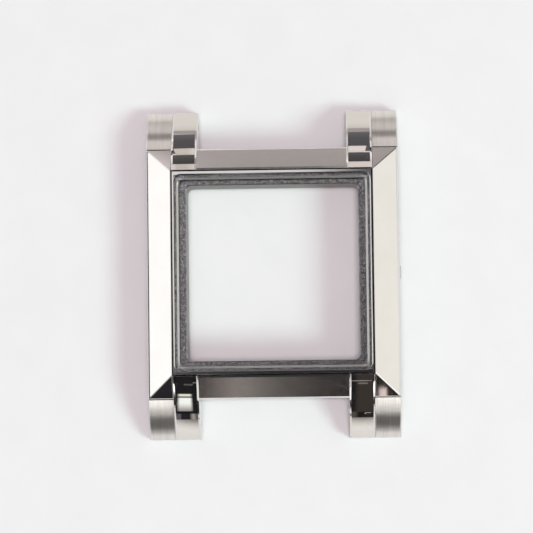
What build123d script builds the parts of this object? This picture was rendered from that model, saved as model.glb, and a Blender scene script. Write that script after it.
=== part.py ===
from build123d import *
import os

# Empty square watch case, millimetres. +Z points out of the crystal side, +Y to
# 12 o'clock, +X to 3 o'clock. The origin is the centre of the case on the flat
# seat of the case back.

# Plan sizes, worked outwards from the strap: the lugs fix the width of the inner wall
strap_gap = 20.0
inner_lug_width = 3.4
lug_seam = 0.05
rail_width = 3.5
rim_side_width = 0.4
rim_end_width = 0.65
bar_depth = 3.1
lug_reach = 5.3

# Heights, worked upwards from the back seat: band, side of a rail, sloping top
band_height = 4.4
rail_side_height = 0.8
hip_drop = 2.8

# Edges of the band, the wall, the rails and the end bars
band_edge_bevel = 0.2
wall_bevel_width = 0.2
wall_bevel_length = 0.2
wall_bevel_drop = 0.6
end_slope_inset = 0.15
side_edge_bevel = 0.2
end_edge_bevel = 0.2
foot_bevel_drop = 0.4
mitre_bevel = 0.08
bar_land_width = 0.27
bar_land_drop = 0.22
strap_hollow = 0.12

# Steps inside the rim: crystal seat, dial ledge, movement opening
crystal_seat_depth = 0.7
crystal_seat_radius = 0.9
crystal_step = 0.6
dial_ledge_depth = 1.8
dial_ledge_radius = 0.9
dial_step_side = 0.95
dial_step_end = 0.7
opening_radius = 0.8
rim_edge_bevel = 0.12
seat_edge_bevel = 0.28
ledge_edge_bevel = 0.1

# Back: register for its spigot, gasket groove, threaded corner holes
register_margin = 0.5
register_depth = 1.0
groove_margin = 0.35
groove_width = 0.65
groove_depth = 0.6
back_hole_inset = 2.05
back_hole_radius = 0.625
back_hole_depth = 3.0

# Polished inner lug, measured from the rim down and from the back up
lug_underside_start = 0.3
lug_underside_middle = -0.15
lug_tip_bottom = -1.0
inner_lug_heel_drop = 0.25
inner_lug_facet_run = 0.85
inner_lug_facet_drop = 0.65
inner_lug_break_reach = 2.6
inner_lug_break_drop = 3.65
inner_lug_tip_height = 1.55
inner_lug_crown_rise = 0.35
inner_lug_outer_bevel = 0.22
inner_lug_inner_bevel = 0.22
inner_lug_inner_tip_drop = 0.08

# Brushed outer lug
outer_lug_inset = 0.1
outer_lug_root_drop = 0.25
outer_lug_tip_height = 1.2
outer_lug_crown_rise = 0.45
outer_lug_edge_bevel = 0.12

# Spring bar holes in the inner lugs
bar_hole_setback = 2.1
bar_hole_height = 1.4
bar_hole_radius = 0.5
bar_hole_depth = 1.6

# Cross dowels that join each pair of lugs
dowel_radius = 0.5
dowel_length = 2.4
dowel_reach = 1.5
dowel_height = 2.2
dowel_clearance = 0.01

# Tongues of the end bars, held down by the heels of the inner lugs
tongue_length = 0.8
tongue_height = 0.8
tongue_inset = 0.5
tongue_clearance = 0.02

# Screws from the back into the rails and inner lugs
screw_radius = 0.6
screw_head_radius = 0.95
screw_head_height = 0.6
screw_slot_width = 0.3
screw_slot_depth = 0.28
screw_seat_depth = 1.0
screw_bite = 1.5
screw_hole_clearance = 0.05
screw_thread_clearance = 0.02
screw_head_clearance = 0.1
rail_screw_spacing = 16.0

# Crown tube pressed into the band at 3 o'clock
tube_radius = 1.0
tube_bore_radius = 0.6
tube_cover = 0.7
tube_shoulder = 0.9
tube_stand_out = 0.15
tube_edge_bevel = 0.12
tube_press_clearance = 0.01

# Places worked out from the sizes above
gap_half = strap_gap / 2
lug_seam_x = gap_half + inner_lug_width
wall_width = 2 * (lug_seam_x + lug_seam)
body_width = wall_width + 2 * rail_width
crystal_seat_size = wall_width - 2 * rim_side_width
wall_length = crystal_seat_size + 2 * rim_end_width
body_length = wall_length + 2 * bar_depth
dial_ledge_size = crystal_seat_size - 2 * crystal_step
opening_width = dial_ledge_size - 2 * dial_step_side
opening_length = dial_ledge_size - 2 * dial_step_end
hip_outer_height = band_height + rail_side_height
body_height = hip_outer_height + hip_drop

half_width = body_width / 2
half_length = body_length / 2
rail_inner_x = wall_width / 2
bar_inner_y = wall_length / 2
hip_inner_y = bar_inner_y - end_slope_inset
tip_y = half_length + lug_reach
slope_outer_x = half_width - side_edge_bevel
slope_outer_y = half_length - end_edge_bevel
side_slope = hip_drop / (slope_outer_x - rail_inner_x)
end_slope = hip_drop / (slope_outer_y - hip_inner_y)
outer_lug_outer_x = half_width - outer_lug_inset
bar_middle_y = (bar_inner_y + half_length) / 2
rail_middle_x = (rail_inner_x + half_width) / 2
lug_middle_x = gap_half + inner_lug_width / 2
stem_height = band_height - tube_cover - tube_radius

sides = {"left": -1, "right": 1}
ends = {"12": 1, "6": -1}


def screw_places():
    """Plan positions of the eight screws that hold the outer pieces to the band."""
    places = []
    for end in ends.values():
        for side in sides.values():
            places.append((side * rail_middle_x, end * rail_screw_spacing / 2))
            places.append((side * lug_middle_x, end * bar_middle_y))
    return places


def rounded_opening(margin, mode=Mode.ADD):
    """Outline of the movement opening, grown by a margin all round."""
    RectangleRounded(opening_width + 2 * margin, opening_length + 2 * margin, opening_radius + margin, mode=mode)


def placed(piece, side, end):
    """Mirror a piece made for the right side at 12 o'clock to its own corner."""
    if side < 0:
        piece = mirror(piece, about=Plane.YZ)
    if end < 0:
        piece = mirror(piece, about=Plane.XZ)
    return piece


def save(piece, label):
    """Name a finished piece and write it to its own file."""
    piece.label = label
    export_step(piece, "parts/" + label + ".step")


def make_case_middle():
    """Band, upstanding wall, seats and every hole in the central block."""
    with BuildPart() as case_middle:
        with BuildSketch():
            Rectangle(body_width, body_length)
        extrude(amount=band_height)
        corner_edges = case_middle.edges().filter_by(Axis.Z)
        chamfer(corner_edges, length=band_edge_bevel)

        # Upstanding wall with a bevel outside its rim, wider towards 12 and 6 o'clock
        with BuildSketch(Plane.XY.offset(band_height)):
            Rectangle(wall_width, wall_length)
        extrude(amount=body_height - band_height)
        with BuildSketch(Plane.XZ.offset(-body_length)):
            for side in sides.values():
                with BuildLine():
                    Polyline(
                        (side * (rail_inner_x - wall_bevel_width), body_height),
                        (side * rail_inner_x, body_height - wall_bevel_drop),
                        (side * rail_inner_x, body_height),
                        close=True,
                    )
                make_face()
        extrude(amount=2 * body_length, mode=Mode.SUBTRACT)
        with BuildSketch(Plane.YZ.offset(-body_width)):
            for end in ends.values():
                with BuildLine():
                    Polyline(
                        (end * (bar_inner_y - wall_bevel_length), body_height),
                        (end * bar_inner_y, body_height - wall_bevel_drop),
                        (end * bar_inner_y, body_height),
                        close=True,
                    )
                make_face()
        extrude(amount=2 * body_width, mode=Mode.SUBTRACT)

        # Shallow hollows in both end faces, where the strap turns
        with BuildSketch():
            for end in ends.values():
                with BuildLine():
                    hollow_ends = [(-gap_half, end * half_length), (gap_half, end * half_length)]
                    ThreePointArc(hollow_ends[0], (0, end * (half_length - strap_hollow)), hollow_ends[1])
                    Line(hollow_ends[1], hollow_ends[0])
                make_face()
        extrude(amount=band_height, mode=Mode.SUBTRACT)

        # Movement opening, with the dial ledge and the crystal seat above it
        with BuildSketch():
            rounded_opening(0)
        extrude(amount=body_height, mode=Mode.SUBTRACT)
        with BuildSketch(Plane.XY.offset(body_height - dial_ledge_depth)):
            RectangleRounded(dial_ledge_size, dial_ledge_size, dial_ledge_radius)
        extrude(amount=dial_ledge_depth, mode=Mode.SUBTRACT)
        with BuildSketch(Plane.XY.offset(body_height - crystal_seat_depth)):
            RectangleRounded(crystal_seat_size, crystal_seat_size, crystal_seat_radius)
        extrude(amount=crystal_seat_depth, mode=Mode.SUBTRACT)

        # Bevels on the inner edges of the rim and of the two steps below it
        step_bevels = [
            (body_height, rim_edge_bevel),
            (body_height - crystal_seat_depth, seat_edge_bevel),
            (body_height - dial_ledge_depth, ledge_edge_bevel),
        ]
        for floor_height, edge_bevel in step_bevels:
            level_faces = case_middle.faces().filter_by(Axis.Z)
            floor = level_faces.sort_by(lambda face: abs(face.center().Z - floor_height))[0]
            chamfer(floor.inner_wires()[0].edges(), length=edge_bevel)

        # Register for the back's spigot and the gasket groove round it
        with BuildSketch():
            rounded_opening(register_margin)
        extrude(amount=register_depth, mode=Mode.SUBTRACT)
        with BuildSketch():
            rounded_opening(register_margin + groove_margin + groove_width)
            rounded_opening(register_margin + groove_margin, mode=Mode.SUBTRACT)
        extrude(amount=groove_depth, mode=Mode.SUBTRACT)

        # Threaded corner holes for the back screws
        with BuildSketch():
            with GridLocations(body_width - 2 * back_hole_inset, body_length - 2 * back_hole_inset, 2, 2):
                Circle(back_hole_radius)
        extrude(amount=back_hole_depth, mode=Mode.SUBTRACT)

        # Stepped holes for the screws that hold the outer pieces
        with BuildSketch():
            with Locations(*screw_places()):
                Circle(screw_head_radius + screw_head_clearance)
        extrude(amount=screw_seat_depth, mode=Mode.SUBTRACT)
        with BuildSketch():
            with Locations(*screw_places()):
                Circle(screw_radius + screw_hole_clearance)
        extrude(amount=band_height, mode=Mode.SUBTRACT)

        # Stepped hole for the crown tube and the stem at 3 o'clock
        with BuildSketch(Plane.YZ):
            with Locations((0, stem_height)):
                Circle(tube_bore_radius)
        extrude(amount=body_width, mode=Mode.SUBTRACT)
        with BuildSketch(Plane.YZ.offset(opening_width / 2 + tube_shoulder)):
            with Locations((0, stem_height)):
                Circle(tube_radius + tube_press_clearance)
        extrude(amount=body_width, mode=Mode.SUBTRACT)
    return case_middle.part


def make_side_rail():
    """Right-hand rail: a sloping polished bar, mitred by the end slopes."""
    with BuildPart() as side_rail:
        with BuildSketch(Plane.XZ.offset(-half_length)):
            with BuildLine():
                Polyline(
                    (rail_inner_x, band_height),
                    (rail_inner_x, body_height),
                    (half_width, hip_outer_height - side_edge_bevel * side_slope),
                    (half_width, band_height),
                    close=True,
                )
            make_face()
        extrude(amount=body_length)
        with BuildSketch(Plane.YZ):
            for end in ends.values():
                with BuildLine():
                    Polyline(
                        (end * hip_inner_y, body_height),
                        (end * half_length, hip_outer_height - end_edge_bevel * end_slope),
                        (end * half_length, body_height),
                        close=True,
                    )
                make_face()
        extrude(amount=body_width, mode=Mode.SUBTRACT)

        # Fine bevels along the mitres, the ends beside the lugs and the edge beside the rim
        across_edges = side_rail.edges().filter_by(Axis.Y, reverse=True).filter_by(Axis.Z, reverse=True)
        long_edge = side_rail.edges().filter_by(Axis.Y).sort_by(Axis.Z)[-1]
        chamfer(across_edges.sort_by(SortBy.LENGTH)[-4:] + [long_edge], length=mitre_bevel)

        # Steep bevels at the foot of the side slope and of both end slopes
        with BuildSketch(Plane.XZ.offset(-half_length)):
            with BuildLine():
                Polyline(
                    (slope_outer_x, hip_outer_height),
                    (half_width, hip_outer_height - foot_bevel_drop),
                    (half_width, hip_outer_height),
                    close=True,
                )
            make_face()
        extrude(amount=body_length, mode=Mode.SUBTRACT)
        with BuildSketch(Plane.YZ):
            for end in ends.values():
                with BuildLine():
                    Polyline(
                        (end * slope_outer_y, hip_outer_height),
                        (end * half_length, hip_outer_height - foot_bevel_drop),
                        (end * half_length, hip_outer_height),
                        close=True,
                    )
                make_face()
        extrude(amount=body_width, mode=Mode.SUBTRACT)

        # Threaded holes in the underside
        with BuildSketch(Plane.XY.offset(band_height)):
            with Locations((rail_middle_x, rail_screw_spacing / 2), (rail_middle_x, -rail_screw_spacing / 2)):
                Circle(screw_radius + screw_thread_clearance)
        extrude(amount=screw_bite, mode=Mode.SUBTRACT)
    return side_rail.part


def make_end_bar():
    """Sloping bar at 12 o'clock, filling the space between the two inner lugs."""
    with BuildPart() as end_bar:
        with BuildSketch(Plane.XY.offset(band_height)):
            with BuildLine():
                Polyline(
                    (-gap_half, half_length),
                    (-gap_half, bar_inner_y),
                    (gap_half, bar_inner_y),
                    (gap_half, half_length),
                )
                ThreePointArc(
                    (gap_half, half_length), (0, half_length - strap_hollow), (-gap_half, half_length)
                )
            make_face()
        extrude(amount=body_height - band_height)
        bar_top = body_height - (bar_inner_y - hip_inner_y) * end_slope
        with BuildSketch(Plane.YZ.offset(-gap_half)):
            with BuildLine():
                Polyline(
                    (bar_inner_y, bar_top - bar_land_drop),
                    (bar_inner_y + bar_land_width, bar_top - bar_land_width * end_slope),
                    (slope_outer_y, hip_outer_height),
                    (half_length, hip_outer_height - foot_bevel_drop),
                    (half_length, body_height),
                    (bar_inner_y, body_height),
                    close=True,
                )
            make_face()
        extrude(amount=strap_gap, mode=Mode.SUBTRACT)

        # Tongues that reach under the heels of both inner lugs
        with BuildSketch(Plane.XY.offset(band_height)):
            with Locations((0, bar_middle_y)):
                Rectangle(strap_gap + 2 * tongue_length, bar_depth - 2 * tongue_inset)
        extrude(amount=tongue_height)
    return end_bar.part


def bulged_middle(start, finish, rise):
    """Point that lifts the middle of an arc off its chord by the rise."""
    run = finish[0] - start[0]
    climb = finish[1] - start[1]
    chord = (run ** 2 + climb ** 2) ** 0.5
    return ((start[0] + finish[0]) / 2 - climb / chord * rise, (start[1] + finish[1]) / 2 + run / chord * rise)


def inner_lug_section(section_x, heel_bevel_drop, tip_bevel_drop):
    """Slice of the polished lug, its heel and its tip lowered by their own drops."""
    heel_top = (bar_inner_y, body_height - inner_lug_heel_drop - heel_bevel_drop)
    facet_end = (bar_inner_y + inner_lug_facet_run, body_height - inner_lug_facet_drop - heel_bevel_drop)
    crown_end = (half_length + inner_lug_break_reach, body_height - inner_lug_break_drop - tip_bevel_drop)
    tip_bottom = (tip_y, lug_tip_bottom)
    underside_middle = ((half_length + tip_y) / 2, lug_underside_middle)
    underside_start = (half_length, lug_underside_start)
    with BuildSketch(Plane.YZ.offset(section_x)) as section:
        with BuildLine():
            Polyline(underside_start, (half_length, band_height), (bar_inner_y, band_height), heel_top, facet_end)
            ThreePointArc(facet_end, bulged_middle(facet_end, crown_end, inner_lug_crown_rise), crown_end)
            Polyline(crown_end, (tip_y, inner_lug_tip_height - tip_bevel_drop), tip_bottom)
            ThreePointArc(tip_bottom, underside_middle, underside_start)
        make_face()
    return section.sketch


def make_inner_lug():
    """Polished lug, right side at 12 o'clock: its heel lies on the band, its tip drops."""
    sections = [
        inner_lug_section(gap_half, inner_lug_inner_bevel, inner_lug_inner_tip_drop),
        inner_lug_section(gap_half + inner_lug_inner_bevel, 0, 0),
        inner_lug_section(lug_seam_x - inner_lug_outer_bevel, 0, 0),
        inner_lug_section(lug_seam_x, 0, inner_lug_outer_bevel),
    ]
    with BuildPart() as inner_lug:
        loft(sections, ruled=True)

        # Pocket for the end bar's tongue
        with BuildSketch(Plane.XY.offset(band_height)):
            with Locations((gap_half, bar_middle_y)):
                Rectangle(
                    2 * (tongue_length + tongue_clearance), bar_depth - 2 * (tongue_inset - tongue_clearance)
                )
        extrude(amount=tongue_height + tongue_clearance, mode=Mode.SUBTRACT)

        # Spring bar hole, dowel hole and the threaded hole under the heel
        with BuildSketch(Plane.YZ.offset(gap_half)):
            with Locations((tip_y - bar_hole_setback, bar_hole_height)):
                Circle(bar_hole_radius)
        extrude(amount=bar_hole_depth, mode=Mode.SUBTRACT)
        with BuildSketch(Plane.YZ.offset(lug_seam_x - dowel_length / 2)):
            with Locations((half_length + dowel_reach, dowel_height)):
                Circle(dowel_radius + dowel_clearance)
        extrude(amount=dowel_length / 2, mode=Mode.SUBTRACT)
        with BuildSketch(Plane.XY.offset(band_height)):
            with Locations((lug_middle_x, bar_middle_y)):
                Circle(screw_radius + screw_thread_clearance)
        extrude(amount=screw_bite, mode=Mode.SUBTRACT)
    return inner_lug.part


def outer_lug_section(section_x, bevel_drop):
    """Slice of the brushed lug, its crown lowered by the drop."""
    root_top = (half_length, hip_outer_height - outer_lug_root_drop - bevel_drop)
    tip_top = (tip_y, outer_lug_tip_height - bevel_drop)
    tip_bottom = (tip_y, lug_tip_bottom)
    underside_middle = ((half_length + tip_y) / 2, lug_underside_middle)
    underside_start = (half_length, lug_underside_start)
    with BuildSketch(Plane.YZ.offset(section_x)) as section:
        with BuildLine():
            Line(underside_start, root_top)
            ThreePointArc(root_top, bulged_middle(root_top, tip_top, outer_lug_crown_rise), tip_top)
            Line(tip_top, tip_bottom)
            ThreePointArc(tip_bottom, underside_middle, underside_start)
        make_face()
    return section.sketch


def make_outer_lug():
    """Brushed lug, right side at 12 o'clock, butted to the band and the rail end."""
    sections = [
        outer_lug_section(lug_seam_x, outer_lug_edge_bevel),
        outer_lug_section(lug_seam_x + outer_lug_edge_bevel, 0),
        outer_lug_section(outer_lug_outer_x - outer_lug_edge_bevel, 0),
        outer_lug_section(outer_lug_outer_x, outer_lug_edge_bevel),
    ]
    with BuildPart() as outer_lug:
        loft(sections, ruled=True)
        with BuildSketch(Plane.YZ.offset(lug_seam_x)):
            with Locations((half_length + dowel_reach, dowel_height)):
                Circle(dowel_radius + dowel_clearance)
        extrude(amount=dowel_length / 2, mode=Mode.SUBTRACT)
    return outer_lug.part


def make_crown_tube():
    """Tube pressed into the band; only its bevelled end stands out."""
    tube_start = opening_width / 2 + tube_shoulder
    tube_end = half_width + tube_stand_out
    with BuildPart() as crown_tube:
        with BuildSketch(Plane.YZ.offset(tube_start)):
            with Locations((0, stem_height)):
                Circle(tube_radius)
        extrude(amount=tube_end - tube_start)
        chamfer(crown_tube.faces().sort_by(Axis.X)[-1].edges(), length=tube_edge_bevel)
        with BuildSketch(Plane.YZ.offset(tube_start)):
            with Locations((0, stem_height)):
                Circle(tube_bore_radius)
        extrude(amount=tube_end - tube_start, mode=Mode.SUBTRACT)
    return crown_tube.part


def make_frame_screws():
    """Eight equal slotted screws, heads sunk below the back seat."""
    with BuildPart() as frame_screws:
        with BuildSketch(Plane.XY.offset(screw_seat_depth)):
            with Locations(*screw_places()):
                Circle(screw_radius)
        extrude(amount=band_height - screw_seat_depth + screw_bite - screw_hole_clearance)
        with BuildSketch(Plane.XY.offset(screw_seat_depth)):
            with Locations(*screw_places()):
                Circle(screw_head_radius)
        extrude(amount=-screw_head_height)
        with BuildSketch(Plane.XY.offset(screw_seat_depth - screw_head_height)):
            with Locations(*screw_places()):
                Rectangle(2 * screw_head_radius, screw_slot_width)
        extrude(amount=screw_slot_depth, mode=Mode.SUBTRACT)
    return frame_screws.part


def make_lug_dowels():
    """Four equal dowels, half in each inner lug and half in its outer lug."""
    dowel_y = half_length + dowel_reach
    with BuildPart() as lug_dowels:
        for side in sides.values():
            with BuildSketch(Plane.YZ.offset(side * lug_seam_x)):
                with Locations((dowel_y, dowel_height), (-dowel_y, dowel_height)):
                    Circle(dowel_radius)
            extrude(amount=dowel_length / 2 - dowel_clearance, both=True)
    return lug_dowels.part


os.makedirs("parts", exist_ok=True)

save(make_case_middle(), "case_middle")

side_rail = make_side_rail()
for side_name, side in sides.items():
    save(placed(side_rail, side, 1), "side_rail_" + side_name)

end_bar = make_end_bar()
for end_name, end in ends.items():
    save(placed(end_bar, 1, end), "end_bar_" + end_name)

inner_lug = make_inner_lug()
outer_lug = make_outer_lug()
for end_name, end in ends.items():
    for side_name, side in sides.items():
        save(placed(inner_lug, side, end), "lug_inner_" + end_name + "_" + side_name)
        save(placed(outer_lug, side, end), "lug_outer_" + end_name + "_" + side_name)

save(make_crown_tube(), "crown_tube")
save(make_frame_screws(), "frame_screws")
save(make_lug_dowels(), "lug_dowels")
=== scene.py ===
import math

import bpy
from mathutils import Matrix, Vector


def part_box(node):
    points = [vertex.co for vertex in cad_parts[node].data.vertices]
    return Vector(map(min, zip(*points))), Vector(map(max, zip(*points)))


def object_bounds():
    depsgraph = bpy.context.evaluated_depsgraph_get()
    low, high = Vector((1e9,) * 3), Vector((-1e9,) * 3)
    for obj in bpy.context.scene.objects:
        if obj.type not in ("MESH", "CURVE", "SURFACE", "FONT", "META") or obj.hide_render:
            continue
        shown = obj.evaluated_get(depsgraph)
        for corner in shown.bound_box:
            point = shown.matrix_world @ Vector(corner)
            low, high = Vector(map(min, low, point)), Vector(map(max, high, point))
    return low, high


# Looks for the empty watch case, in metres, in the frame of the solid part

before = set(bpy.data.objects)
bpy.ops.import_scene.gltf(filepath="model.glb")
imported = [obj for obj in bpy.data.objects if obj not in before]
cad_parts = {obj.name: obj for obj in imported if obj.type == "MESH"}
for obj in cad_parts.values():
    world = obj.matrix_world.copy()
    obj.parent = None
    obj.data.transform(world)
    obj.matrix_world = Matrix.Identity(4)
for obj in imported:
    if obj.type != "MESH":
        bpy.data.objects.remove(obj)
cad_low, cad_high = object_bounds()

MM = 0.001
METRE_IN_MM = 1 / MM


# Node helpers

class Nodes:
    """Adds nodes to one node tree and joins them."""

    def __init__(self, tree):
        self.tree = tree
        tree.nodes.clear()

    def add(self, kind, inputs=None, **settings):
        """New node with its settings; each input gets a value or another node's output."""
        node = self.tree.nodes.new(kind)
        for name, value in settings.items():
            setattr(node, name, value)
        for name, value in (inputs or {}).items():
            socket = node.inputs[name]
            if isinstance(value, bpy.types.NodeSocket):
                self.tree.links.new(value, socket)
            else:
                socket.default_value = value
        return node

    def math(self, operation, first, second=0.0):
        return self.add("ShaderNodeMath", {0: first, 1: second}, operation=operation).outputs[0]

    def plus(self, first, second):
        return self.math("ADD", first, second)

    def minus(self, first, second):
        return self.math("SUBTRACT", first, second)

    def times(self, first, second):
        return self.math("MULTIPLY", first, second)

    def size(self, value):
        """The value without its sign."""
        return self.math("ABSOLUTE", value)

    def over(self, value, limit):
        """1 above the limit, else 0."""
        return self.math("GREATER_THAN", value, limit)

    def under(self, value, limit):
        """1 below the limit, else 0."""
        return self.math("LESS_THAN", value, limit)

    def spread(self, value, low, high, new_low=0, new_high=1):
        """Stretch a value from one range to another, clamped."""
        return self.add(
            "ShaderNodeMapRange",
            {"Value": value, "From Min": low, "From Max": high, "To Min": new_low, "To Max": new_high},
        ).outputs[0]

    def mix(self, share, first, second):
        """Mix of two colours."""
        return self.add("ShaderNodeMix", {0: share, 6: first, 7: second}, data_type="RGBA").outputs[2]

    def blend(self, share, first, second):
        """Mix of two numbers."""
        return self.add("ShaderNodeMix", {0: share, 2: first, 3: second}, data_type="FLOAT").outputs[0]

    def tint(self, first, second):
        """Product of two colours."""
        return self.add("ShaderNodeVectorMath", {0: first, 1: second}, operation="MULTIPLY").outputs[0]

    def place(self):
        """The surface point in the row frame, in metres."""
        return self.add("ShaderNodeTexCoord").outputs["Object"]

    def split(self, vector):
        node = self.add("ShaderNodeSeparateXYZ", {0: vector})
        return node.outputs[0], node.outputs[1], node.outputs[2]

    def facing(self):
        """The x, y and z of the direction that the flat surface faces."""
        return self.split(self.add("ShaderNodeNewGeometry").outputs["True Normal"])

    def noise(self, cell, detail=2.0, roughness=0.5):
        """Noise whose cells measure the given millimetres along x, y and z."""
        scale = [1 / (size * MM) for size in cell]
        scaled = self.add("ShaderNodeMapping", {"Vector": self.place(), "Scale": scale}).outputs[0]
        return self.add(
            "ShaderNodeTexNoise",
            {"Vector": scaled, "Scale": 1.0, "Detail": detail, "Roughness": roughness},
        ).outputs[0]

    def steps(self, value, stops):
        """Colour that runs through the given (value, colour) stops."""
        low, high = stops[0][0], stops[-1][0]
        ramp = self.add("ShaderNodeValToRGB", {"Fac": self.spread(value, low, high)})
        elements = ramp.color_ramp.elements
        while len(elements) < len(stops):
            elements.new(0.5)
        for element, (place, color) in zip(elements, stops):
            element.position = (place - low) / (high - low)
            element.color = (*color, 1)
        return ramp.outputs["Color"]

    def bump(self, height, depth, normal):
        """Bump whose height of 1 stands for the given millimetres."""
        return self.add(
            "ShaderNodeBump",
            {"Height": height, "Strength": 1.0, "Distance": depth * MM, "Normal": normal},
        ).outputs[0]

    def soft_edge(self, radius):
        """Normal that rounds every edge by the given millimetres."""
        return self.add("ShaderNodeBevel", {"Radius": radius * MM}, samples=4).outputs[0]

    def steel(self, color, roughness, normal, anisotropic=0.0, tangent=None, glancing=1.0):
        """Metal; glancing dims what it mirrors at a low angle."""
        inputs = {
            "Base Color": color, "Metallic": 1.0, "Roughness": roughness, "Normal": normal,
            "Specular Tint": (glancing, glancing, glancing, 1.0),
        }
        if anisotropic:
            inputs["Anisotropic"] = anisotropic
            inputs["Tangent"] = tangent
        surface = self.add("ShaderNodeBsdfPrincipled", inputs)
        self.add("ShaderNodeOutputMaterial", {"Surface": surface.outputs[0]})


def new_material(name):
    """Empty material and the nodes that fill it."""
    material = bpy.data.materials.new(name)
    material.use_nodes = True
    return material, Nodes(material.node_tree)


def grey(level, warmth=0.0):
    """Grey whose red is raised and blue lowered by the warmth."""
    return (level * (1 + warmth), level, level * (1 - warmth), 1.0)


# Places and sizes that the finishes follow

lug_low, lug_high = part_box("lug_inner_12_right")
LUG_MIDDLE = (lug_low[0] + lug_high[0]) / 2
LUG_DOME_RADIUS = 57.0 * MM
RAIL_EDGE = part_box("side_rail_right")[1][0]
RAIL_ROLL_WIDTH = 0.5 * MM
RAIL_ROLL_RADIUS = 2.0 * MM
FLANK_FACING = 0.6
LEVEL_FACING = 0.5

SEAT_REACH = 13.05 * MM
SEAT_FOOT = 0.2 * MM
LEDGE_BEVEL_INSIDE = 12.45 * MM
LEDGE_BEVEL_OUTSIDE = 12.72 * MM
OPENING_REACH = 11.9 * MM
SEAT_TOOL_PITCH = 0.16 * MM
SEAT_TOOL_WOBBLE = 0.12 * MM

TURNING_PITCH = 0.08 * MM
TUBE_CENTRES = [(0.0, 2.7 * MM)]
SCREW_CENTRES = [(15.2 * MM, 8.0 * MM), (11.7 * MM, 15.25 * MM)]
DOWEL_CENTRES = [(18.3 * MM, 2.2 * MM)]


# Materials

def polished_steel(name, edge, make_sag):
    """Mirror polish with a faint haze and hairline scratches, edges rounded by the polishing.

    The sag, in metres, is how far polishing has lowered the surface off its true shape.
    """
    material, nodes = new_material(name)
    haze = nodes.noise((3.0, 4.0, 3.0), detail=3)
    fine = nodes.noise((0.05, 1.6, 0.05), detail=3, roughness=0.7)
    cross = nodes.noise((1.1, 0.04, 0.6), detail=2)
    scratch = nodes.math("MAXIMUM", nodes.spread(fine, 0.66, 0.78), nodes.spread(cross, 0.72, 0.8, 0, 0.6))
    roughness = nodes.plus(nodes.spread(haze, 0.3, 0.7, 0.012, 0.028), nodes.times(scratch, 0.03))
    color = nodes.mix(nodes.spread(haze, 0.35, 0.65), grey(0.77, 0.012), grey(0.75, 0.016))
    across = nodes.size(nodes.split(nodes.place())[0])
    sag = nodes.times(make_sag(nodes, across), -1.0)
    scratched = nodes.bump(scratch, depth=0.0006, normal=nodes.soft_edge(edge))
    normal = nodes.bump(sag, depth=METRE_IN_MM, normal=scratched)
    nodes.steel(color, roughness, normal)
    return material


def round_sag(nodes, distance, radius):
    """Drop of a round form at a distance from its crown."""
    return nodes.times(nodes.times(distance, distance), 0.5 / radius)


def lug_sag(nodes, across):
    """Crown domed a little from side to side."""
    return round_sag(nodes, nodes.minus(across, LUG_MIDDLE), LUG_DOME_RADIUS)


def rail_sag(nodes, across):
    """Slope rolled off next to its outer edge."""
    past = nodes.math("MAXIMUM", nodes.minus(across, RAIL_EDGE - RAIL_ROLL_WIDTH), 0.0)
    return round_sag(nodes, past, RAIL_ROLL_RADIUS)


def brushed_steel():
    """Straight brushing along the strap, uneven from line to line."""
    material, nodes = new_material("brushed_steel")
    is_flank = nodes.over(nodes.size(nodes.facing()[0]), FLANK_FACING)

    def streaks(cell, length, detail):
        """Noise drawn out along the strap, on the crown and on the flanks."""
        on_top = nodes.noise((cell, length, 30.0), detail=detail, roughness=0.7)
        on_flank = nodes.noise((30.0, length, cell), detail=detail, roughness=0.7)
        return nodes.blend(is_flank, on_top, on_flank)

    streak = nodes.plus(nodes.times(streaks(0.2, 6.0, 3), 0.5), nodes.times(streaks(0.09, 3.0, 3), 0.3))
    streak = nodes.plus(streak, nodes.times(streaks(0.7, 9.0, 2), 0.2))
    color = nodes.mix(nodes.spread(streak, 0.38, 0.62), grey(0.7, 0.033), grey(0.86, 0.028))
    roughness = nodes.spread(streak, 0.35, 0.65, 0.27, 0.33)
    normal = nodes.bump(streak, depth=0.004, normal=nodes.soft_edge(0.04))
    across = nodes.add("ShaderNodeCombineXYZ", {0: 1.0, 1: 0.0, 2: 0.0}).outputs[0]
    nodes.steel(color, roughness, normal, anisotropic=1.0, tangent=across)
    return material


def satin_steel():
    """Soft polish with a slight haze and faint cross lines."""
    material, nodes = new_material("satin_steel")
    haze = nodes.noise((2.0, 1.2, 1.2), detail=4, roughness=0.6)
    lines = nodes.noise((0.06, 1.4, 0.5), detail=3, roughness=0.7)
    color = nodes.mix(nodes.spread(haze, 0.3, 0.7), grey(0.79, 0.02), grey(0.85, 0.014))
    roughness = nodes.plus(nodes.spread(haze, 0.3, 0.7, 0.07, 0.1), nodes.spread(lines, 0.4, 0.8, 0, 0.03))
    normal = nodes.bump(lines, depth=0.0004, normal=nodes.soft_edge(0.03))
    nodes.steel(color, roughness, normal)
    return material


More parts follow.
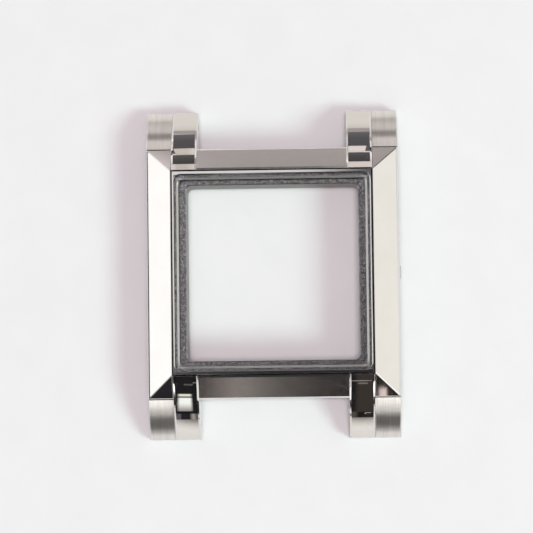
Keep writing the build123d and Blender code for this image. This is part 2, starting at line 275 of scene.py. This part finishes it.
def machined_steel():
    """Coarse seats inside the rim with square tool marks, finer walls, soft polish outside."""
    material, nodes = new_material("machined_steel")
    x, y, z = nodes.split(nodes.place())
    from_middle = nodes.math("MAXIMUM", nodes.size(x), nodes.size(y))
    is_inside = nodes.times(nodes.under(from_middle, SEAT_REACH), nodes.over(z, SEAT_FOOT))
    is_ledge_bevel = nodes.times(
        nodes.over(from_middle, LEDGE_BEVEL_INSIDE), nodes.under(from_middle, LEDGE_BEVEL_OUTSIDE)
    )
    is_level = nodes.over(nodes.facing()[2], LEVEL_FACING)
    is_opening_wall = nodes.times(nodes.under(from_middle, OPENING_REACH), nodes.minus(1.0, is_level))

    wobble = nodes.times(nodes.noise((1.5, 1.5, 1.5), detail=2), SEAT_TOOL_WOBBLE)
    turns = nodes.times(nodes.plus(from_middle, wobble), 2 * math.pi / SEAT_TOOL_PITCH)
    rings = nodes.plus(nodes.times(nodes.math("SINE", turns), 0.5), 0.5)
    grain = nodes.noise((0.09, 0.09, 0.09), detail=4, roughness=0.75)
    blotch = nodes.spread(nodes.noise((0.3, 0.3, 0.3), detail=4, roughness=0.75), 0.35, 0.65)
    speck = nodes.spread(nodes.noise((0.2, 0.2, 0.2), detail=1), 0.66, 0.72)
    pits = nodes.spread(nodes.noise((0.24, 0.24, 0.24), detail=2, roughness=0.6), 0.35, 0.65)
    outside_lines = nodes.noise((1.2, 0.06, 0.06), detail=3)

    step_blotch = nodes.plus(nodes.times(blotch, 0.2), 0.4)
    seat_color = nodes.mix(
        nodes.blend(is_level, step_blotch, blotch), (0.15, 0.145, 0.154, 1), (0.6, 0.585, 0.61, 1)
    )
    seat_color = nodes.mix(nodes.times(speck, nodes.times(is_level, 0.7)), seat_color, grey(0.9))
    wall_color = nodes.mix(blotch, grey(0.53, 0.065), grey(0.65, 0.065))
    inside_color = nodes.mix(is_opening_wall, seat_color, wall_color)
    color = nodes.mix(is_inside, grey(0.68, 0.012), inside_color)
    # Painted highlight: the ledge bevel gets lighter steel than the seats, standing in for light that the
    # walls throw back onto it; its higher roughness below is real.
    color = nodes.mix(is_ledge_bevel, color, grey(0.66, 0.012))

    outside_roughness = nodes.spread(outside_lines, 0.3, 0.7, 0.05, 0.08)
    inside_roughness = nodes.spread(grain, 0.3, 0.7, 0.16, 0.22)
    roughness = nodes.blend(is_inside, outside_roughness, inside_roughness)
    roughness = nodes.blend(is_ledge_bevel, roughness, 0.4)

    height = nodes.plus(nodes.times(rings, 0.3), nodes.times(grain, 0.5))
    height = nodes.plus(height, nodes.times(pits, nodes.blend(is_level, 0.5, 2.6)))
    height = nodes.blend(is_inside, nodes.times(outside_lines, 0.1), height)
    normal = nodes.bump(height, depth=0.0035, normal=nodes.soft_edge(0.03))
    nodes.steel(color, roughness, normal, glancing=0.3)
    return material


def turned_steel(name, axis, centres):
    """Turning marks round the nearest of the given centres, mirrored to every side of the case."""
    material, nodes = new_material(name)
    parts = [nodes.size(part) for part in nodes.split(nodes.place())]
    del parts[axis]
    nearest = None
    for centre in centres:
        first, second = (nodes.minus(part, middle) for part, middle in zip(parts, centre))
        squares = nodes.plus(nodes.times(first, first), nodes.times(second, second))
        nearest = squares if nearest is None else nodes.math("MINIMUM", nearest, squares)
    turns = nodes.times(nodes.math("SQRT", nearest), 2 * math.pi / TURNING_PITCH)
    grain = nodes.noise((0.12, 0.12, 0.12), detail=3)
    height = nodes.plus(nodes.times(nodes.math("SINE", turns), 0.3), grain)
    color = nodes.mix(nodes.spread(grain, 0.35, 0.65), grey(0.5, 0.01), grey(0.66, 0.01))
    roughness = nodes.spread(grain, 0.3, 0.7, 0.2, 0.32)
    normal = nodes.bump(height, depth=0.004, normal=nodes.soft_edge(0.03))
    nodes.steel(color, roughness, normal)
    return material


finishes = {
    "case_middle": machined_steel(),
    "side_rail": polished_steel("polished_steel", edge=0.05, make_sag=rail_sag),
    "end_bar": satin_steel(),
    "lug_inner": polished_steel("polished_lug_steel", edge=0.09, make_sag=lug_sag),
    "lug_outer": brushed_steel(),
    "crown_tube": turned_steel("tube_steel", axis=0, centres=TUBE_CENTRES),
    "frame_screws": turned_steel("screw_steel", axis=2, centres=SCREW_CENTRES),
    "lug_dowels": turned_steel("dowel_steel", axis=0, centres=DOWEL_CENTRES),
}
for start, finish in finishes.items():
    for name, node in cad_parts.items():
        if name.startswith(start):
            for material_slot in node.material_slots:
                material_slot.material = finish


# Studio pieces

FLOOR_GAP = 0.02 * MM
FLOOR_Z = cad_low[2] - FLOOR_GAP
FLOOR_HALF = 4.0
CARD_LIFT = 0.1 * MM
CARD_FOOT = FLOOR_Z + CARD_LIFT
CARD_COLUMNS = 12
CARD_ROWS = 6
SPILL = 0.1


def stage_piece(name, corners, faces):
    """Mesh that surrounds the case and isn't part of it."""
    mesh = bpy.data.meshes.new(name)
    mesh.from_pydata(corners, [], faces)
    made = bpy.data.objects.new(name, mesh)
    bpy.context.scene.collection.objects.link(made)
    return made


def quad(name, corners, height):
    """Level four-cornered piece at one height."""
    return stage_piece(name, [(x, y, height) for x, y in corners], [(0, 1, 2, 3)])


def rectangle(name, x_range, y_range, height):
    """Level rectangle at one height."""
    west, east = x_range
    south, north = y_range
    return quad(name, [(west, south), (east, south), (east, north), (west, north)], height)


def shine(made, paint):
    """Makes a studio piece glow, seen in mirrors only.

    The paint is one colour, or a function that gets the nodes and returns a colour: the
    brightness that a mirror shows. Steel throws little of it on the floor, so that the
    shadows stay.
    """
    material, nodes = new_material(made.name)
    color = paint(nodes) if callable(paint) else (*paint, 1)
    is_spill = nodes.over(nodes.add("ShaderNodeLightPath").outputs["Diffuse Depth"], 0.5)
    strength = nodes.blend(is_spill, 1.0, SPILL)
    glow = nodes.add("ShaderNodeEmission", {"Color": color, "Strength": strength}).outputs[0]
    nodes.add("ShaderNodeOutputMaterial", {"Surface": glow})
    made.data.materials.append(material)
    made.visible_camera = False
    made.visible_diffuse = False
    made.visible_shadow = False


def between(ends, share):
    """Value at a share of the way between two ends."""
    return ends[0] + (ends[1] - ends[0]) * share


def card(name, azimuths, elevations, paint, distance=1.0):
    """Curved card between two azimuths, counted from +X towards +Y, and two elevations, in degrees."""
    corners = []
    faces = []
    for column in range(CARD_COLUMNS + 1):
        azimuth = math.radians(between(azimuths, column / CARD_COLUMNS))
        for row in range(CARD_ROWS + 1):
            elevation = math.radians(between(elevations, row / CARD_ROWS))
            corners.append((
                distance * math.cos(azimuth) * math.cos(elevation),
                distance * math.sin(azimuth) * math.cos(elevation),
                max(distance * math.sin(elevation), CARD_FOOT),
            ))
            if column and row:
                here = column * (CARD_ROWS + 1) + row
                before = here - CARD_ROWS - 1
                faces.append((before - 1, here - 1, here, before))
    shine(stage_piece(name, corners, faces), paint)


# Floor

def floor_paper():
    """Pale uneven paper, clear when seen from below."""
    material, nodes = new_material("floor_paper")
    unevenness = nodes.spread(nodes.noise((6.0, 6.0, 6.0), detail=4), 0.3, 0.7)
    color = nodes.mix(unevenness, (0.86, 0.855, 0.86, 1), (0.88, 0.875, 0.875, 1))
    matt = nodes.add("ShaderNodeBsdfDiffuse", {"Color": color}).outputs[0]
    clear = nodes.add("ShaderNodeBsdfTransparent").outputs[0]
    is_from_below = nodes.times(
        nodes.add("ShaderNodeNewGeometry").outputs["Backfacing"],
        nodes.add("ShaderNodeLightPath").outputs["Is Camera Ray"],
    )
    surface = nodes.add("ShaderNodeMixShader", {0: is_from_below, 1: matt, 2: clear}).outputs[0]
    nodes.add("ShaderNodeOutputMaterial", {"Surface": surface})
    return material


floor = rectangle("floor", (-FLOOR_HALF, FLOOR_HALF), (-FLOOR_HALF, FLOOR_HALF), FLOOR_Z)
floor.data.materials.append(floor_paper())


# Colours that the steel mirrors, as stops along one direction

WHITE = (1.0, 1.0, 1.0)
ROOM_NEAREST = 0.02
FRONT_DARK = (0.02, 0.018, 0.02)
FRONT_DARK_TOP = 0.795
WINDOW_FOOT = 0.23


def room_colour(nodes):
    """Room walls in level bands, by how steeply they rise seen from the side of the case.

    Those in front stand higher to the left.
    """
    x, y, z = nodes.split(nodes.place())
    slope = nodes.math("DIVIDE", z, nodes.math("MAXIMUM", nodes.size(y), ROOM_NEAREST))
    lean = nodes.spread(x, -0.4, 0.0, 0.76, 1.0)
    front = nodes.steps(nodes.times(slope, lean), [
        (0.0, (0.95, 0.93, 0.91)), (0.035, (0.95, 0.93, 0.91)),
        (0.07, (0.045, 0.042, 0.041)), (0.38, (0.045, 0.042, 0.041)),
        (0.465, (0.25, 0.24, 0.23)), (0.57, (1.0, 0.98, 0.94)),
        (0.67, (2.2, 2.18, 2.09)), (1.25, (2.0, 1.98, 1.9)),
        (1.5, (0.95, 0.94, 0.91)), (2.0, (0.95, 0.94, 0.91)),
    ])
    back = nodes.steps(slope, [
        (0.0, (1.0, 0.93, 0.9)), (0.305, (1.05, 0.98, 0.94)),
        (0.33, (0.015, 0.014, 0.014)), (0.53, (0.02, 0.019, 0.019)),
        (0.56, (1.2, 1.12, 1.09)), (0.8, (1.05, 0.98, 0.95)),
        (0.92, (0.85, 0.78, 0.76)), (2.0, (0.85, 0.78, 0.76)),
    ])
    return nodes.mix(nodes.over(y, 0.0), front, back)


def wall_back_colour(nodes):
    """Dark wall behind, a little lighter towards its foot."""
    height = nodes.split(nodes.place())[2]
    return nodes.steps(height, [
        (0.0, (0.17, 0.165, 0.175)), (0.1, (0.14, 0.135, 0.14)),
        (0.2, (0.113, 0.108, 0.114)), (0.42, (0.105, 0.1, 0.106)),
    ])


def strip_back_colour(nodes):
    """Long lamp over the wall behind, dimmer to the left and at its lower and upper edges."""
    x, _, z = nodes.split(nodes.place())
    rise = nodes.steps(z, [
        (0.413, (0.87, 0.785, 0.77)), (0.5, (0.92, 0.825, 0.785)),
        (0.54, (0.85, 0.77, 0.73)), (0.565, (0.84, 0.76, 0.71)),
    ])
    across = nodes.steps(x, [(-0.06, (0.8, 0.81, 0.77)), (-0.02, WHITE)])
    return nodes.tint(rise, across)


def ceiling_back_colour(nodes):
    """Dark ceiling over the lamp, darker as it rises."""
    height = nodes.split(nodes.place())[2]
    return nodes.steps(height, [
        (0.565, (0.13, 0.12, 0.12)), (0.656, (0.09, 0.087, 0.086)), (0.73, (0.062, 0.06, 0.063)),
    ])


def front_colour(nodes):
    """Dark room in front: a faint glow low down, and a window left of the middle.

    Right of the middle the dark is a little lighter and warmer.
    """
    x, _, z = nodes.split(nodes.place())
    glow = nodes.steps(x, [
        (-0.12, (0.05, 0.045, 0.05)), (-0.108, (0.14, 0.125, 0.145)),
        (-0.097, (0.14, 0.125, 0.145)), (-0.092, (0.025, 0.022, 0.028)),
        (-0.072, (0.025, 0.022, 0.025)), (-0.061, (0.01, 0.009, 0.009)),
        (-0.052, (0.3, 0.264, 0.248)), (-0.045, (0.46, 0.41, 0.38)),
        (-0.036, (0.17, 0.155, 0.147)), (-0.022, (0.09, 0.08, 0.076)),
        (-0.012, (0.095, 0.084, 0.08)), (-0.004, (0.05, 0.044, 0.042)),
        (0.004, (0.014, 0.012, 0.011)), (0.04, (0.03, 0.025, 0.022)),
        (0.12, FRONT_DARK),
    ])
    is_right = nodes.times(nodes.spread(x, -0.02, 0.0), nodes.under(z, FRONT_DARK_TOP))
    dark = nodes.mix(is_right, (0.015, 0.015, 0.016, 1), (0.052, 0.0425, 0.0365, 1))
    wall = nodes.mix(nodes.spread(z, 0.14, 0.18, 1, 0), dark, glow)
    panes = nodes.steps(z, [
        (WINDOW_FOOT, FRONT_DARK), (0.235, (0.36, 0.36, 0.37)),
        (0.29, (0.55, 0.52, 0.48)), (0.34, (0.75, 0.74, 0.68)),
        (0.39, (0.97, 0.98, 0.92)), (0.44, (1.15, 1.18, 1.12)),
        (0.549, (1.2, 1.22, 1.17)), (0.556, (0.3, 0.28, 0.25)),
        (0.588, (0.3, 0.28, 0.25)), (0.595, (1.08, 1.04, 0.86)),
        (0.63, (0.95, 0.9, 0.74)), (0.638, FRONT_DARK),
    ])
    window_width = nodes.times(nodes.spread(x, -0.113, -0.1), nodes.spread(x, -0.054, -0.042, 1, 0))
    is_window = nodes.times(window_width, nodes.over(z, WINDOW_FOOT))
    return nodes.mix(is_window, wall, panes)


def far_floor_colour(nodes):
    """Floor behind the case, dimmer past the tips and to the right, brighter at the far left."""
    x, y, _ = nodes.split(nodes.place())
    along = nodes.steps(y, [
        (0.028, (0.875, 0.83, 0.785)), (0.042, (0.86, 0.815, 0.77)), (0.046, (0.76, 0.7, 0.65)),
        (0.05, (0.6, 0.56, 0.53)), (0.06, (0.5, 0.46, 0.44)), (0.09, (0.42, 0.385, 0.37)),
        (0.15, (0.45, 0.405, 0.39)), (0.22, (0.48, 0.43, 0.415)), (0.45, (0.4, 0.36, 0.35)),
    ])
    across = nodes.steps(x, [
        (-0.034, (1.65, 1.68, 1.75)), (-0.026, WHITE), (0.015, WHITE), (0.025, (0.85, 0.86, 0.87)),
    ])
    return nodes.tint(along, across)


def near_floor_colour(nodes):
    """Floor before the case, bright near it and dark farther out."""
    distance = nodes.split(nodes.place())[1]
    return nodes.steps(distance, [
        (-0.4, (0.11, 0.1, 0.095)), (-0.22, (0.15, 0.137, 0.13)),
        (-0.19, (0.3, 0.28, 0.265)), (-0.165, (0.62, 0.585, 0.55)),
        (-0.145, (0.83, 0.79, 0.745)), (-0.12, (0.97, 0.935, 0.885)),
        (-0.09, (0.92, 0.89, 0.84)), (-0.03, (0.88, 0.85, 0.81)),
    ])


def ceiling_colour(nodes):
    """Dark ceiling with one bright band over the upper left of the case."""
    x, y, _ = nodes.split(nodes.place())
    return nodes.steps(nodes.minus(y, x), [
        (0.0, (0.035, 0.033, 0.037)), (0.1, (0.035, 0.033, 0.037)),
        (0.125, (0.95, 0.93, 0.93)), (0.28, (0.95, 0.93, 0.93)),
        (0.33, (0.12, 0.116, 0.12)),
    ])


# Directions of the card edges, in degrees

CARD_TOP = 62
BACK_RIGHT = 84
BACK_LEFT = 100
STRIP_RIGHT = 86.9
STRIP_LEFT = 97.3
STRIP_END_RIGHT = 83
STRIP_END_LEFT = 101
STRIP_LOW = 24.4
STRIP_HIGH = 34.4
STRIP_END_LOW = 32.6
FRONT_LEFT = -100
FRONT_RIGHT = -84
FRONT_SIDE_LEFT = -107
FRONT_SIDE_RIGHT = -77
FRONT_SIDE_LOW = 33

# Distances and colours of the cards

ROOM_DISTANCE = 1.2
LINE_DISTANCE = 0.95
GLINT_DISTANCE = 0.98
MITRE_DISTANCE = 0.93
STRIP_SHADE = (0.12, 0.115, 0.12)
STRIP_GLOW = (0.86, 0.77, 0.77)
SIDE_SHADE = (0.03, 0.027, 0.03)

card("room", (0, 360), (0, CARD_TOP), room_colour, ROOM_DISTANCE)
card("softbox_left", (140, 220), (0, 10.5), (1.3, 1.285, 1.265))
card("softbox_right", (-40, 40), (0, 12.5), (1.045, 1.02, 0.945))

card("wall_back", (BACK_RIGHT, BACK_LEFT), (0, STRIP_LOW), wall_back_colour)
card("strip_back", (STRIP_RIGHT, STRIP_LEFT), (STRIP_LOW, STRIP_HIGH), strip_back_colour)
card("strip_back_right", (BACK_RIGHT, STRIP_RIGHT), (STRIP_LOW, STRIP_END_LOW), STRIP_SHADE)
card("strip_back_left", (STRIP_LEFT, BACK_LEFT), (STRIP_LOW, STRIP_END_LOW), STRIP_SHADE)
card("strip_end_right", (STRIP_END_RIGHT, STRIP_RIGHT), (STRIP_END_LOW, STRIP_HIGH), STRIP_GLOW)
card("strip_end_left", (STRIP_LEFT, STRIP_END_LEFT), (STRIP_END_LOW, STRIP_HIGH), STRIP_GLOW)
card("ceiling_back", (BACK_RIGHT, BACK_LEFT), (STRIP_HIGH, CARD_TOP), ceiling_back_colour)

card("wall_front", (FRONT_LEFT, FRONT_RIGHT), (0, CARD_TOP), front_colour)
card("wall_front_left", (FRONT_SIDE_LEFT, FRONT_LEFT), (FRONT_SIDE_LOW, CARD_TOP), SIDE_SHADE)
card("wall_front_right", (FRONT_RIGHT, FRONT_SIDE_RIGHT), (FRONT_SIDE_LOW, CARD_TOP), SIDE_SHADE)
card("line_front_high", (-93.5, FRONT_RIGHT), (51.9, 53.3), (0.4, 0.38, 0.35), LINE_DISTANCE)
card("line_front_right", (-90.1, -85.9), (49.8, 50.9), (0.2, 0.185, 0.178), LINE_DISTANCE)
card("line_front_left", (-97.4, -93.4), (50.2, 51.3), (0.13, 0.12, 0.115), LINE_DISTANCE)
card("flame_front", (-88.44, -88.22), (5.6, 6.45), (1.0, 0.84, 0.78), GLINT_DISTANCE)
card("wedge_front", (-88.4, -87.0), (7.0, 7.9), (0.5, 0.46, 0.52), GLINT_DISTANCE)

card("mitre_light_12", (128, 142), (16, 32), (1.1, 1.0, 1.02), MITRE_DISTANCE)
card("mitre_light_6", (-54, -38), (18, 36), (1.2, 1.17, 1.15), MITRE_DISTANCE)
card("mitre_dark_12", (38, 54), (14, 34), (0.06, 0.055, 0.06), MITRE_DISTANCE)

CEILING_HALF = 0.6
CEILING_HEIGHT = 1.0
GROUND_HALF = 1.0
GROUND_DEPTH = 0.98
FAR_START = 0.028
NEAR_START = -0.04
SIDE_START = -0.038
SIDE_NARROW = 0.025
SIDE_WIDE = 0.5

shine(
    rectangle("ceiling", (-CEILING_HALF, CEILING_HALF), (-CEILING_HALF, CEILING_HALF), CEILING_HEIGHT),
    ceiling_colour,
)
shine(
    rectangle("far_floor", (-GROUND_HALF, GROUND_HALF), (FAR_START, GROUND_DEPTH), 0.0),
    far_floor_colour,
)
shine(
    rectangle("near_floor", (-GROUND_HALF, GROUND_HALF), (-GROUND_DEPTH, NEAR_START), 0.0),
    near_floor_colour,
)
side_floor = quad("side_floor", [
    (-GROUND_HALF, -SIDE_WIDE), (SIDE_START, -SIDE_NARROW),
    (SIDE_START, SIDE_NARROW), (-GROUND_HALF, SIDE_WIDE),
], 0.0)
shine(side_floor, (0.09, 0.085, 0.1))


# Lamps and world

ROOM_LIGHT = (0.29, 0.262, 0.275, 1)
BACKDROP = (0.87, 0.87, 0.875, 1)


def lamp(name, place, size, energy, color, is_mirrored):
    """Round lamp aimed at the case."""
    data = bpy.data.lights.new(name, "AREA")
    data.shape = "DISK"
    data.size = size
    data.energy = energy
    data.color = color
    made = bpy.data.objects.new(name, data)
    made.location = place
    made.rotation_mode = "QUATERNION"
    made.rotation_quaternion = made.location.to_track_quat("Z", "Y")
    made.visible_camera = False
    made.visible_glossy = is_mirrored
    bpy.context.scene.collection.objects.link(made)


def studio_world():
    """Dim light from all round, behind a pale backdrop that only the camera sees."""
    world = bpy.data.worlds.new("studio")
    world.use_nodes = True
    nodes = Nodes(world.node_tree)
    light, backdrop = (
        nodes.add("ShaderNodeBackground", {"Color": color, "Strength": 1.0}).outputs[0]
        for color in (ROOM_LIGHT, BACKDROP)
    )
    is_camera_ray = nodes.add("ShaderNodeLightPath").outputs["Is Camera Ray"]
    surface = nodes.add("ShaderNodeMixShader", {0: is_camera_ray, 1: light, 2: backdrop}).outputs[0]
    nodes.add("ShaderNodeOutputWorld", {"Surface": surface})
    return world


lamp("key", place=(1.16, -0.7, 1.38), size=0.68, energy=16.3, color=(0.76, 1.0, 0.91), is_mirrored=True)
lamp("fill", place=(0.03, -0.07, 1.6), size=0.35, energy=12.9, color=(1.0, 0.905, 0.945), is_mirrored=False)
bpy.context.scene.world = studio_world()


# Camera, from the fit to the photo's corner points

TILT = math.radians(4.0)
SWING = math.radians(1.7)
ROLL = math.radians(0.67)
RANGE = 0.3445
PIXEL = 0.1325 * MM
IMAGE_SIZE = 533
RIM_PIXEL = (272.4, 271.4)
SENSOR = 36.0
NEAR_CLIP = 0.01
FAR_CLIP = 10.0

back = Vector((math.sin(SWING) * math.cos(TILT), -math.sin(TILT), math.cos(SWING) * math.cos(TILT)))
right = Vector((0, 1, 0)).cross(back).normalized()
up = back.cross(right)
camera_right = math.cos(ROLL) * right - math.sin(ROLL) * up
camera_up = math.sin(ROLL) * right + math.cos(ROLL) * up
offset_right = (RIM_PIXEL[0] - IMAGE_SIZE / 2) * PIXEL
offset_up = (IMAGE_SIZE / 2 - RIM_PIXEL[1]) * PIXEL
rim_middle = Vector((0, 0, cad_high[2]))
camera_place = rim_middle + RANGE * back - offset_right * camera_right - offset_up * camera_up
camera_axes = Matrix((camera_right, camera_up, back)).transposed().to_4x4()

camera_data = bpy.data.cameras.new("camera")
camera_data.sensor_width = SENSOR
camera_data.lens = SENSOR * RANGE / (IMAGE_SIZE * PIXEL)
camera_data.clip_start = NEAR_CLIP
camera_data.clip_end = FAR_CLIP
camera = bpy.data.objects.new("camera", camera_data)
camera.matrix_world = Matrix.Translation(camera_place) @ camera_axes
bpy.context.scene.collection.objects.link(camera)
bpy.context.scene.camera = camera
bpy.context.scene.view_settings.view_transform = "Standard"
